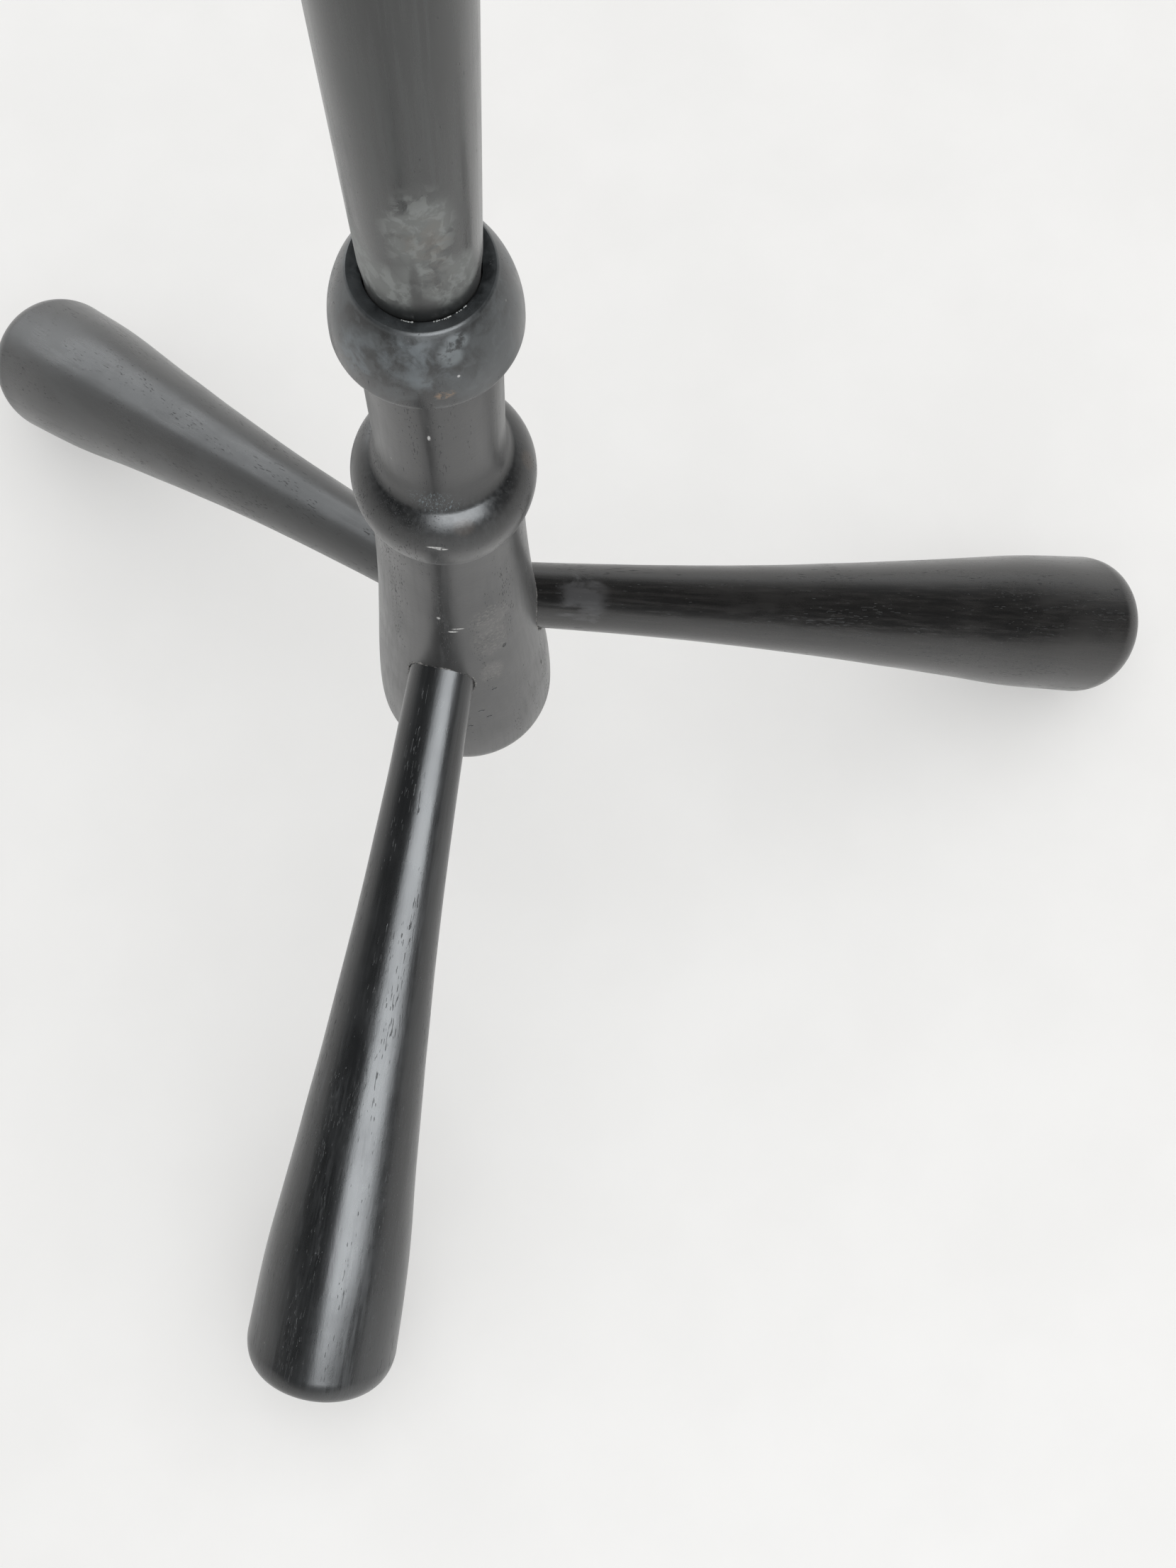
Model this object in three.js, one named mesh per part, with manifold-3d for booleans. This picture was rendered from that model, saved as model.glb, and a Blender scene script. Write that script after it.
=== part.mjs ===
// A tall floor stand for a trumpet, in turned and ebonised wood.
// Three club legs are let into a turned column, and a round post stands loose in a
// socket at the top of the column. A felt-ringed cone on the post goes into the bell.
// Millimetres, +Z up, the floor at Z = 0.

import * as THREE from 'three';
import { mergeVertices } from 'three/addons/utils/BufferGeometryUtils.js';
import Module from 'manifold-3d';

const wasm = await Module();
wasm.setup();

// Driving dimensions. Heights are above the floor.
const GAP = 0.3;                       // room left between pieces that touch
const ROUND = 32;                      // facets round a large turning
const LEG_ROUND = 24;                  // facets round a leg
const SMALL_ROUND = 14;                // facets round a small piece

const HUB_WIDEST_HEIGHT = 156;
const HUB_RADIUS = 45.1;
const HUB_BOTTOM_DEPTH = 37;           // the rounded end hangs this far below the widest ring
const LEG_AXIS_HEIGHT = 278.4;         // where the legs' axes meet the column's axis

const LOWER_BEAD_FOOT_HEIGHT = 389.6;
const LOWER_BEAD_HEIGHT = 411.9;
const LOWER_BEAD_RADIUS = 37.8;
const FLANK_TOP_RADIUS = 32.3;

const NECK_BASE_HEIGHT = 446;          // a hollow curve leads from here out to the lower bead
const NECK_BASE_RADIUS = 25.6;
const NECK_TOP_RADIUS = 25.9;
const SPIGOT_RADIUS = 19;              // the neck's spigot, which carries the collar

const COLLAR_BASE_HEIGHT = 523;
const COLLAR_WIDEST_HEIGHT = 531.7;
const COLLAR_RADIUS = 33.8;
const COLLAR_LIP_RADIUS = 27.2;        // lower lip, which overhangs the neck
const COLLAR_RIM_HEIGHT = 565;
const COLLAR_RIM_RADIUS = 24.8;
const SOCKET_RADIUS = 20;
const SOCKET_FLOOR_HEIGHT = 552;
const DISH_DEPTH = 1.6;                // the rim falls away this far into the socket

const WASHER_THICKNESS = 1.6;
const TENON_RADIUS = 12.7;             // the post's tenon
const TENON_LENGTH = 75;
const TENON_PLAY = 0.6;                // loose all round, so that the post turns and lifts out

const POST_FOOT_RADIUS = 20.2;          // of the post's taper, carried down to the rim
const POST_SHOULDER_RADIUS = 19.4;      // the post is eased in where it enters the socket
const POST_WIDENING = 0.0211;          // radius gained per millimetre of height
const POST_TOP_HEIGHT = 800;
const POST_BEAD_RADIUS = 29;
const POST_BEAD_HALF_HEIGHT = 11;

const CONE_HEIGHT = 128;
const CONE_FOOT_RADIUS = 26;
const LOWER_RING = { height: 8, width: 10, innerRadius: 26.4, outerRadius: 29.6 };
const UPPER_RING = { height: 106, width: 8, innerRadius: 12.4, outerRadius: 15.3 };
const DOWEL_RADIUS = 6;
const DOWEL_LENGTH = 50;

const LEG_SOCKET_DEPTH_AT = 20;        // distance along the leg's axis where the leg's end sits
const LEG_THIN_RADIUS = 15.3;
const LEG_THICK_RADIUS = 41.2;
const LEG_CORNER = { along: 15.6, across: 7.9 };
const LEG_CROWN = 5.6;
const LEG_STANDARD_LENGTH = 450;
const LEGS = {
  front: { azimuth: -90, length: 450 },
  right: { azimuth: 24.3, length: 467 },
  left: { azimuth: 149.9, length: 451.4 },
};
const KERF = { width: 3, depth: 12 };

const PAD_THICKNESS = 3;
const PAD_RADIUS = 8;
const CLUB_FLAT_DEPTH = 3;             // how much the glide's flat cuts off the club's lowest point
const NAIL = { radius: 1, length: 14, headRadius: 3.2, headThickness: 0.8, headHeight: 1 };

const radians = THREE.MathUtils.degToRad;

// Materials: one per finish.
function finish(color, roughness, metalness = 0) {
  return new THREE.MeshStandardMaterial({ color, roughness, metalness });
}
const EBONISED = finish(0x26282a, 0.42);
const EBONISED_POST = finish(0x3a3e3d, 0.5);
const EBONISED_LEG = finish(0x1d1f20, 0.36);
const BARE_WOOD = finish(0xb08a5c, 0.7);
const FELT = finish(0x1c1d1c, 0.95);
const STEEL = finish(0x9a9c9e, 0.35, 1);

/** Points on an ellipse's arc, as [radius, height] pairs; angles are in degrees. */
function arc(centreRadius, centreHeight, radiusAcross, radiusAlong, from, to, steps) {
  const points = [];
  for (let i = 0; i <= steps; i += 1) {
    const angle = radians(from + ((to - from) * i) / steps);
    points.push([
      centreRadius + radiusAcross * Math.cos(angle),
      centreHeight + radiusAlong * Math.sin(angle),
    ]);
  }
  return points;
}

/** Points of a curve through 2D vectors, as [radius, height] pairs, without its first point. */
function along(curve, steps) {
  return curve.getPoints(steps).slice(1).map((point) => [point.x, point.y]);
}

/** A closed profile of [radius, height] pairs turned round the Z axis. */
function turned(profile, facets = ROUND) {
  const points = profile.map(([radius, height]) => new THREE.Vector2(radius, height));
  return new THREE.LatheGeometry(points, facets).rotateX(Math.PI / 2);
}

/** A plain round bar on the Z axis. */
function bar(radius, from, to, facets = SMALL_ROUND) {
  return turned([[0, from], [radius, from], [radius, to], [0, to]], facets);
}

/** A plain ring round the Z axis. */
function ring(innerRadius, outerRadius, from, to, facets = ROUND) {
  const profile = [
    [innerRadius, from], [outerRadius, from], [outerRadius, to], [innerRadius, to], [innerRadius, from],
  ];
  return turned(profile, facets);
}

/** The manifold solid of a closed geometry. */
function solidOf(geometry) {
  const bare = geometry.clone();
  bare.deleteAttribute('normal');
  bare.deleteAttribute('uv');
  const merged = mergeVertices(bare, 1e-4);
  const triangles = [];
  for (let i = 0; i < merged.index.count; i += 3) {
    const corners = [0, 1, 2].map((k) => merged.index.getX(i + k));
    if (new Set(corners).size === 3) triangles.push(...corners);
  }
  return new wasm.Manifold(new wasm.Mesh({
    numProp: 3,
    vertProperties: new Float32Array(merged.attributes.position.array),
    triVerts: new Uint32Array(triangles),
  }));
}

/** The geometry of a manifold solid. */
function geometryOf(solid) {
  const { vertProperties, triVerts } = solid.getMesh();
  const geometry = new THREE.BufferGeometry();
  geometry.setAttribute('position', new THREE.BufferAttribute(vertProperties, 3));
  geometry.setIndex(new THREE.BufferAttribute(triVerts, 1));
  geometry.computeVertexNormals();
  return geometry;
}

/** A geometry with others cut out of it. */
function cut(geometry, cutters) {
  let solid = solidOf(geometry);
  for (const cutter of cutters) solid = solid.subtract(solidOf(cutter));
  return geometryOf(solid);
}

function piece(name, geometry, material) {
  const mesh = new THREE.Mesh(geometry, material.clone());
  mesh.name = name;
  return mesh;
}

// Legs. A leg is drawn along its own Z axis, which starts on the column's axis.

/** Outline of a leg of the given length, grown sideways by a clearance. */
function legProfile(length, clearance = 0) {
  const scale = length / LEG_STANDARD_LENGTH;
  const cornerStart = (LEG_STANDARD_LENGTH - LEG_CROWN - LEG_CORNER.along) * scale;
  const swell = new THREE.SplineCurve([
    new THREE.Vector2(LEG_THIN_RADIUS, 27 * scale),
    new THREE.Vector2(17.7, 99 * scale),
    new THREE.Vector2(21.4, 171 * scale),
    new THREE.Vector2(26.8, 243 * scale),
    new THREE.Vector2(33.1, 315 * scale),
    new THREE.Vector2(38.7, 373.5 * scale),
    new THREE.Vector2(LEG_THICK_RADIUS, cornerStart),
  ]);
  const corner = arc(
    LEG_THICK_RADIUS - LEG_CORNER.across, cornerStart, LEG_CORNER.across, LEG_CORNER.along * scale, 0, 90, 5,
  ).slice(1);
  const cornerEnd = corner.at(-1);
  const crown = arc(0, cornerEnd[1], cornerEnd[0], LEG_CROWN * scale, 0, 90, 2).slice(1);
  const body = [[LEG_THIN_RADIUS, LEG_SOCKET_DEPTH_AT], [LEG_THIN_RADIUS, 27 * scale], ...along(swell, 12)];
  const grown = [...body, ...corner, ...crown].map(([radius, height]) => [radius + clearance, height]);
  grown.at(-1)[0] = 0;
  return [[0, LEG_SOCKET_DEPTH_AT - clearance], [grown[0][0], LEG_SOCKET_DEPTH_AT - clearance], ...grown.slice(1)];
}

/** How low a leg's outline comes when its axis dips by an angle, and how far out that point is. */
function lowestPoint(length, dip) {
  let lowest = { height: Infinity, reach: 0 };
  for (const [radius, distance] of legProfile(length)) {
    const height = LEG_AXIS_HEIGHT - distance * Math.sin(dip) - radius * Math.cos(dip);
    if (height < lowest.height) {
      lowest = { height, reach: distance * Math.cos(dip) - radius * Math.sin(dip) };
    }
  }
  return lowest;
}

/** The dip that brings a leg's lowest point down to where its glide's flat cuts it. */
function dipOf(length) {
  const target = PAD_THICKNESS + GAP - CLUB_FLAT_DEPTH;
  let shallow = radians(10);
  let steep = radians(60);
  for (let i = 0; i < 40; i += 1) {
    const middle = (shallow + steep) / 2;
    if (lowestPoint(length, middle).height > target) shallow = middle;
    else steep = middle;
  }
  return (shallow + steep) / 2;
}

/** Turns a shape drawn along a leg's own axis into the upright frame of that leg. */
function legMatrix(dip) {
  return new THREE.Matrix4().makeRotationY(Math.PI / 2 + dip).setPosition(0, 0, LEG_AXIS_HEIGHT);
}

function tenonWedge() {
  const outline = new THREE.Shape();
  const start = LEG_SOCKET_DEPTH_AT;
  const end = start + KERF.depth - 1;
  outline.moveTo(-KERF.width / 2 + GAP, start);
  outline.lineTo(KERF.width / 2 - GAP, start);
  outline.lineTo(0.5, end);
  outline.lineTo(-0.5, end);
  outline.closePath();
  const width = 1.7 * LEG_THIN_RADIUS;
  const wedge = new THREE.ExtrudeGeometry(outline, { depth: width, bevelEnabled: false });
  return wedge.translate(0, 0, -width / 2).rotateX(Math.PI / 2);
}

function glideNail(reach) {
  const { radius, length, headRadius, headThickness, headHeight } = NAIL;
  const neck = headHeight + headThickness;
  const profile = [
    [0, headHeight], [headRadius, headHeight], [headRadius, neck], [radius, neck],
    [radius, neck + length - 3], [0, neck + length],
  ];
  return turned(profile, SMALL_ROUND).translate(reach, 0, 0);
}

function glidePad(reach) {
  const headTop = NAIL.headHeight + NAIL.headThickness + GAP;
  const profile = [
    [NAIL.headRadius + GAP, 0], [PAD_RADIUS - 0.5, 0], [PAD_RADIUS, 0.5], [PAD_RADIUS, PAD_THICKNESS],
    [NAIL.radius + GAP, PAD_THICKNESS], [NAIL.radius + GAP, headTop], [NAIL.headRadius + GAP, headTop],
    [NAIL.headRadius + GAP, 0],
  ];
  return turned(profile, SMALL_ROUND).translate(reach, 0, 0);
}

/** One leg with its wedge, glide and nail, and the hole that it needs in the hub. */
function makeLeg(name, { azimuth, length }) {
  const dip = dipOf(length);
  const { reach } = lowestPoint(length, dip);
  const placement = legMatrix(dip);
  const unplaced = placement.clone().invert();

  const floorBlock = new THREE.BoxGeometry(400, 400, 60);
  floorBlock.translate(reach, 0, PAD_THICKNESS + GAP - 30).applyMatrix4(unplaced);
  const nailHole = bar(NAIL.radius + GAP, -1, NAIL.headHeight + NAIL.headThickness + NAIL.length + 1);
  nailHole.translate(reach, 0, 0).applyMatrix4(unplaced);
  const kerf = new THREE.BoxGeometry(KERF.width, 80, 2 * KERF.depth);
  kerf.translate(0, 0, LEG_SOCKET_DEPTH_AT);
  const legShape = cut(turned(legProfile(length), LEG_ROUND), [floorBlock, nailHole, kerf]);

  const dipped = new THREE.Group();
  dipped.applyMatrix4(placement);
  dipped.add(piece(`leg_${name}`, legShape, EBONISED_LEG));
  dipped.add(piece(`tenon_wedge_${name}`, tenonWedge(), BARE_WOOD));

  const group = new THREE.Group();
  group.rotation.z = radians(azimuth);
  group.add(dipped);
  group.add(piece(`foot_pad_${name}`, glidePad(reach), FELT));
  group.add(piece(`foot_nail_${name}`, glideNail(reach), STEEL));

  const hole = turned(legProfile(length, GAP), LEG_ROUND);
  hole.applyMatrix4(placement).rotateZ(radians(azimuth));
  return { group, hole };
}

// Column: hub, flank, lower bead and neck in one turning.

function columnProfile() {
  const flank = new THREE.CubicBezierCurve(
    new THREE.Vector2(HUB_RADIUS, HUB_WIDEST_HEIGHT),
    new THREE.Vector2(HUB_RADIUS, 210),
    new THREE.Vector2(FLANK_TOP_RADIUS, 300),
    new THREE.Vector2(FLANK_TOP_RADIUS, LOWER_BEAD_FOOT_HEIGHT),
  );
  const beadCentreRadius = 6.3;
  const beadAcross = LOWER_BEAD_RADIUS - beadCentreRadius;
  const hollow = new THREE.CubicBezierCurve(
    new THREE.Vector2(29.3, 430.3),
    new THREE.Vector2(27.3, 432.2),
    new THREE.Vector2(NECK_BASE_RADIUS, 435.5),
    new THREE.Vector2(NECK_BASE_RADIUS, NECK_BASE_HEIGHT),
  );
  return [
    ...arc(0, HUB_WIDEST_HEIGHT, HUB_RADIUS, HUB_BOTTOM_DEPTH, -90, 0, 8),
    ...along(flank, 7),
    ...arc(beadCentreRadius, LOWER_BEAD_HEIGHT, beadAcross, 39.8, -34, 0, 4).slice(1),
    ...arc(beadCentreRadius, LOWER_BEAD_HEIGHT, beadAcross, 27, 0, 43, 5).slice(1),
    ...along(hollow, 5),
    [NECK_TOP_RADIUS, COLLAR_BASE_HEIGHT - GAP],
    [SPIGOT_RADIUS, COLLAR_BASE_HEIGHT - GAP],
    [SPIGOT_RADIUS, SOCKET_FLOOR_HEIGHT],
    [0, SOCKET_FLOOR_HEIGHT],
  ];
}

function collarProfile() {
  const bore = SPIGOT_RADIUS + GAP;
  return [
    [bore, COLLAR_BASE_HEIGHT],
    [COLLAR_LIP_RADIUS, COLLAR_BASE_HEIGHT],
    ...arc(11.3, COLLAR_WIDEST_HEIGHT, COLLAR_RADIUS - 11.3, 11.8, -42, 0, 5),
    ...arc(0.5, COLLAR_WIDEST_HEIGHT, COLLAR_RADIUS - 0.5, 48.9, 0, 43.1, 8).slice(1),
    [COLLAR_RIM_RADIUS - 0.6, COLLAR_RIM_HEIGHT],
    [SOCKET_RADIUS + 0.6, COLLAR_RIM_HEIGHT - DISH_DEPTH + 0.5],
    [SOCKET_RADIUS, COLLAR_RIM_HEIGHT - DISH_DEPTH],
    [SOCKET_RADIUS, SOCKET_FLOOR_HEIGHT - 2],
    [bore, SOCKET_FLOOR_HEIGHT - 2],
    [bore, COLLAR_BASE_HEIGHT],
  ];
}

// Post, with its tenon below and the hole for the cone's dowel above.

function postRadiusAt(height) {
  return POST_FOOT_RADIUS + POST_WIDENING * (height - COLLAR_RIM_HEIGHT);
}

function postProfile(shoulder) {
  const beadHeight = POST_TOP_HEIGHT - POST_BEAD_HALF_HEIGHT - 1;
  const beadStart = beadHeight - POST_BEAD_HALF_HEIGHT;
  const tenonEnd = shoulder - TENON_LENGTH;
  const dowelHole = DOWEL_RADIUS + GAP;
  const holeFloor = POST_TOP_HEIGHT - DOWEL_LENGTH / 2 - 1;
  const easing = new THREE.QuadraticBezierCurve(
    new THREE.Vector2(POST_SHOULDER_RADIUS, COLLAR_RIM_HEIGHT - 2),
    new THREE.Vector2(POST_SHOULDER_RADIUS + 0.4, COLLAR_RIM_HEIGHT + 3),
    new THREE.Vector2(postRadiusAt(COLLAR_RIM_HEIGHT + 10), COLLAR_RIM_HEIGHT + 10),
  );
  return [
    [0, tenonEnd],
    [TENON_RADIUS - 2, tenonEnd],
    [TENON_RADIUS, tenonEnd + 2],
    [TENON_RADIUS, shoulder],
    [POST_SHOULDER_RADIUS - 0.6, shoulder],
    [POST_SHOULDER_RADIUS, shoulder + 0.6],
    ...along(easing, 3),
    [postRadiusAt(beadStart - 4), beadStart - 4],
    ...arc(POST_BEAD_RADIUS - 8, beadHeight, 8, POST_BEAD_HALF_HEIGHT, -70, 80, 7),
    [CONE_FOOT_RADIUS - 1, POST_TOP_HEIGHT],
    [dowelHole, POST_TOP_HEIGHT],
    [dowelHole, holeFloor],
    [0, holeFloor],
  ];
}

// Bell cone: slimmer than a bell's inside everywhere but at its two felt rings.

function coneProfile(base) {
  const dowelHole = DOWEL_RADIUS + GAP;
  const holeTop = base + DOWEL_LENGTH / 2 + 1;
  const low = LOWER_RING;
  const high = UPPER_RING;
  const taper = new THREE.CubicBezierCurve(
    new THREE.Vector2(low.outerRadius - 1.2, base + low.height + low.width + GAP),
    new THREE.Vector2(19, base + 40),
    new THREE.Vector2(15, base + 70),
    new THREE.Vector2(high.outerRadius - 1.2, base + high.height - GAP),
  );
  return [
    [0, holeTop],
    [dowelHole, holeTop],
    [dowelHole, base],
    [CONE_FOOT_RADIUS, base],
    [low.outerRadius - 1.2, base + 3],
    [low.outerRadius - 1.2, base + low.height - GAP],
    [low.innerRadius - GAP, base + low.height - GAP],
    [low.innerRadius - GAP, base + low.height + low.width + GAP],
    [low.outerRadius - 1.2, base + low.height + low.width + GAP],
    ...along(taper, 6),
    [high.innerRadius - GAP, base + high.height - GAP],
    [high.innerRadius - GAP, base + high.height + high.width + GAP],
    [high.outerRadius - 1.6, base + high.height + high.width + GAP],
    ...arc(0, base + CONE_HEIGHT - 11, high.outerRadius - 1.6, 11, 0, 90, 4).slice(1),
  ];
}

/** A felt ring with a rounded outside, lying in a groove of the cone. */
function feltRing({ height, width, innerRadius, outerRadius }, base) {
  const middle = base + height + width / 2;
  const bulge = outerRadius - innerRadius - 1;
  const profile = [
    [innerRadius, base + height],
    ...arc(innerRadius + 1, middle, bulge, width / 2, -90, 90, 5),
    [innerRadius, base + height + width],
    [innerRadius, base + height],
  ];
  return turned(profile);
}

// Assembly.

const washerBase = SOCKET_FLOOR_HEIGHT + GAP;
const shoulder = washerBase + WASHER_THICKNESS + GAP;
const coneWasherBase = POST_TOP_HEIGHT + GAP;
const coneBase = coneWasherBase + WASHER_THICKNESS + GAP;

const legs = Object.entries(LEGS).map(([name, place]) => makeLeg(name, place));
const tenonBore = bar(TENON_RADIUS + TENON_PLAY, shoulder - TENON_LENGTH - 2, SOCKET_FLOOR_HEIGHT + 5, ROUND);
const columnShape = cut(turned(columnProfile()), [tenonBore, ...legs.map((leg) => leg.hole)]);
const boreRadius = TENON_RADIUS + TENON_PLAY;
const seatWasherShape = ring(boreRadius, SOCKET_RADIUS - 0.5, washerBase, washerBase + WASHER_THICKNESS);
const coneWasherShape = ring(
  DOWEL_RADIUS + 2 * GAP, CONE_FOOT_RADIUS - 2, coneWasherBase, coneWasherBase + WASHER_THICKNESS,
);
const dowelShape = bar(DOWEL_RADIUS, coneBase - DOWEL_LENGTH / 2, coneBase + DOWEL_LENGTH / 2 - 1);

const stand = new THREE.Group();
stand.add(piece('hub_column', columnShape, EBONISED));
stand.add(piece('collar_bead', turned(collarProfile()), EBONISED));
stand.add(piece('seat_washer', seatWasherShape, FELT));
stand.add(piece('upper_post', turned(postProfile(shoulder)), EBONISED_POST));
stand.add(piece('cone_washer', coneWasherShape, FELT));
stand.add(piece('cone_dowel', dowelShape, BARE_WOOD));
stand.add(piece('bell_cone', turned(coneProfile(coneBase)), EBONISED_POST));
stand.add(piece('bell_ring_lower', feltRing(LOWER_RING, coneBase), FELT));
stand.add(piece('bell_ring_upper', feltRing(UPPER_RING, coneBase), FELT));
for (const leg of legs) stand.add(leg.group);

// The origin is on the floor, under the middle of the whole stand's footprint.
const box = new THREE.Box3().setFromObject(stand, true);
const middle = box.getCenter(new THREE.Vector3());
stand.position.set(-middle.x, -middle.y, 0);

const trumpetStand = new THREE.Group();
trumpetStand.add(stand);

export default trumpetStand;
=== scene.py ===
import math
import random

import bmesh
import bpy
import numpy as np
from mathutils import Matrix, Vector, noise


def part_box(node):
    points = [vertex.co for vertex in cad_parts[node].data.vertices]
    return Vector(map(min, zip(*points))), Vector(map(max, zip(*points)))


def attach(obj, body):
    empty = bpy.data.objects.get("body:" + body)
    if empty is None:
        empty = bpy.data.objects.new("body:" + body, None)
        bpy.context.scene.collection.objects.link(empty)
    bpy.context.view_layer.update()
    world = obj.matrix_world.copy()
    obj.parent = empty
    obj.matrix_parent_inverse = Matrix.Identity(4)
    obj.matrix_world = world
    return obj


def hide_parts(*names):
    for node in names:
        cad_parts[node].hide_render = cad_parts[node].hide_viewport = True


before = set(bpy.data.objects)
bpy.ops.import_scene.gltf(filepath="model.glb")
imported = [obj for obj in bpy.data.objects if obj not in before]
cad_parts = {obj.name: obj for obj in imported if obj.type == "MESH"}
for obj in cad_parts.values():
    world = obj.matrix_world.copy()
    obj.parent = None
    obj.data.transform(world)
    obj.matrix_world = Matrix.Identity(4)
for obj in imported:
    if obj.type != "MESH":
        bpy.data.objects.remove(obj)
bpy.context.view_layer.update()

# ---------------------------------------------------------------------------
# Driving sizes, in metres. Places come from the frame.
# ---------------------------------------------------------------------------

MM = 0.001
GAP = 0.3 * MM                     # room between pieces that touch
FINE = 160    # facets round a large turning
ROW = 1.6 * MM    # longest row of faces along an outline

column_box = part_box("hub_column")
collar_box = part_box("collar_bead")
post_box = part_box("upper_post")
cone_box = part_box("bell_cone")
axis_x = (column_box[0][0] + column_box[1][0]) / 2
axis_y = (column_box[0][1] + column_box[1][1]) / 2
AXIS = Vector((axis_x, axis_y, 0))

HUB_RADIUS = 45.1 * MM
HUB_BOTTOM = column_box[0][2]
HUB_BOTTOM_DEPTH = 37 * MM
HUB_WIDEST = HUB_BOTTOM + HUB_BOTTOM_DEPTH
LEG_AXIS_HEIGHT = HUB_WIDEST + 122.4 * MM
SOCKET_FLOOR = column_box[1][2]

BEAD_FOOT = HUB_WIDEST + 233.6 * MM
BEAD_HEIGHT = BEAD_FOOT + 22.3 * MM
BEAD_RADIUS = 37.8 * MM
BEAD_CENTRE_RADIUS = 6.3 * MM
FLANK_TOP_RADIUS = 32.3 * MM
NECK_BASE = BEAD_FOOT + 56.4 * MM
NECK_BASE_RADIUS = 25.6 * MM
NECK_TOP_RADIUS = 25.9 * MM
SPIGOT_RADIUS = 19 * MM

COLLAR_BASE = collar_box[0][2]
COLLAR_RIM = collar_box[1][2]
COLLAR_WIDEST = COLLAR_BASE + 8.7 * MM
COLLAR_RADIUS = 33.8 * MM
COLLAR_LIP_RADIUS = 27.2 * MM
COLLAR_RIM_RADIUS = 24.8 * MM
SOCKET_RADIUS = 20 * MM
DISH_DEPTH = 1.6 * MM

TENON_RADIUS = 12.7 * MM
TENON_PLAY = 0.6 * MM
TENON_END = post_box[0][2]
SHOULDER = TENON_END + 75 * MM
POST_TOP = post_box[1][2]
POST_FOOT_RADIUS = 20.2 * MM       # of the post's taper, carried down to the rim
POST_SHOULDER_RADIUS = 19.4 * MM
POST_WIDENING = 0.0211
POST_BEAD_RADIUS = 29 * MM
POST_BEAD_HALF_HEIGHT = 11 * MM

CONE_BASE = cone_box[0][2]
CONE_TIP = cone_box[1][2]
CONE_FOOT_RADIUS = 26 * MM
DOWEL_RADIUS = 6 * MM
DOWEL_HALF_LENGTH = 25 * MM

LEG_STANDARD_LENGTH = 450 * MM
LEG_LENGTHS = {"front": 450 * MM, "right": 467 * MM, "left": 451.4 * MM}
LEG_SEAT = 20 * MM                 # where the leg's end sits, along its axis
LEG_THIN_RADIUS = 15.3 * MM
LEG_THICK_RADIUS = 41.2 * MM
LEG_CORNER_ALONG = 15.6 * MM
LEG_CORNER_ACROSS = 7.9 * MM
LEG_CROWN = 5.6 * MM
PAD_THICKNESS = 3 * MM
CLUB_FLAT_DEPTH = 3 * MM


# ---------------------------------------------------------------------------
# Outlines, as lists of (radius, height)
# ---------------------------------------------------------------------------

def arc(centre_radius, centre_height, across, along, start, end, steps=24):
    points = []
    for i in range(steps + 1):
        angle = math.radians(start + (end - start) * i / steps)
        points.append((centre_radius + across * math.cos(angle), centre_height + along * math.sin(angle)))
    return points


def bezier(*controls, steps=24):
    points = []
    for i in range(steps + 1):
        t = i / steps
        layer = [Vector(c) for c in controls]
        while len(layer) > 1:
            layer = [a.lerp(b, t) for a, b in zip(layer, layer[1:])]
        points.append(tuple(layer[0]))
    return points


def through(points, steps=10):
    """A Catmull-Rom curve through the points."""
    padded = [points[0], *points, points[-1]]
    curve = [points[0]]
    for k in range(len(points) - 1):
        p0, p1, p2, p3 = (np.array(p) for p in padded[k:k + 4])
        for i in range(1, steps + 1):
            t = i / steps
            blend = 2 * p1 + (p2 - p0) * t + (2 * p0 - 5 * p1 + 4 * p2 - p3) * t ** 2
            curve.append(tuple((blend + (3 * p1 - p0 - 3 * p2 + p3) * t ** 3) / 2))
    return curve


def refine(profile, longest):
    """Adds points so that no stretch of an outline is longer than a limit."""
    points = [profile[0]]
    for start, end in zip(profile, profile[1:]):
        length = math.dist(start, end)
        if length < 1e-6:
            continue
        count = max(1, math.ceil(length / longest))
        for i in range(1, count + 1):
            t = i / count
            points.append((start[0] + (end[0] - start[0]) * t, start[1] + (end[1] - start[1]) * t))
    return points


# ---------------------------------------------------------------------------
# Meshes
# ---------------------------------------------------------------------------

def turned(name, profile, facets=FINE, longest=ROW, closed=False):
    """A piece turned round its own Z axis. An open outline starts and ends on the axis."""
    points = refine(profile, longest)
    if closed:
        points = points[:-1]
    rings = []
    mesh = bmesh.new()
    for radius, height in points:
        if radius < 1e-6:
            rings.append([mesh.verts.new((0, 0, height))])
            continue
        ring = []
        for i in range(facets):
            angle = 2 * math.pi * i / facets
            ring.append(mesh.verts.new((radius * math.cos(angle), radius * math.sin(angle), height)))
        rings.append(ring)
    pairs = list(zip(rings, rings[1:]))
    if closed:
        pairs.append((rings[-1], rings[0]))
    for low, high in pairs:
        for i in range(facets):
            j = (i + 1) % facets
            if len(low) == 1:
                mesh.faces.new((low[0], high[j], high[i]))
            elif len(high) == 1:
                mesh.faces.new((low[i], low[j], high[0]))
            else:
                mesh.faces.new((low[i], low[j], high[j], high[i]))
    data = bpy.data.meshes.new(name)
    bmesh.ops.recalc_face_normals(mesh, faces=mesh.faces)
    mesh.to_mesh(data)
    mesh.free()
    piece = bpy.data.objects.new(name, data)
    bpy.context.collection.objects.link(piece)
    shade(piece)
    return piece


def shade(piece, angle=35):
    """Smooth shading that keeps real edges sharp."""
    data = piece.data
    data.polygons.foreach_set("use_smooth", [True] * len(data.polygons))
    mesh = bmesh.new()
    mesh.from_mesh(data)
    for edge in mesh.edges:
        if len(edge.link_faces) == 2:
            edge.smooth = edge.calc_face_angle(0) < math.radians(angle)
    mesh.to_mesh(data)
    mesh.free()


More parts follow.
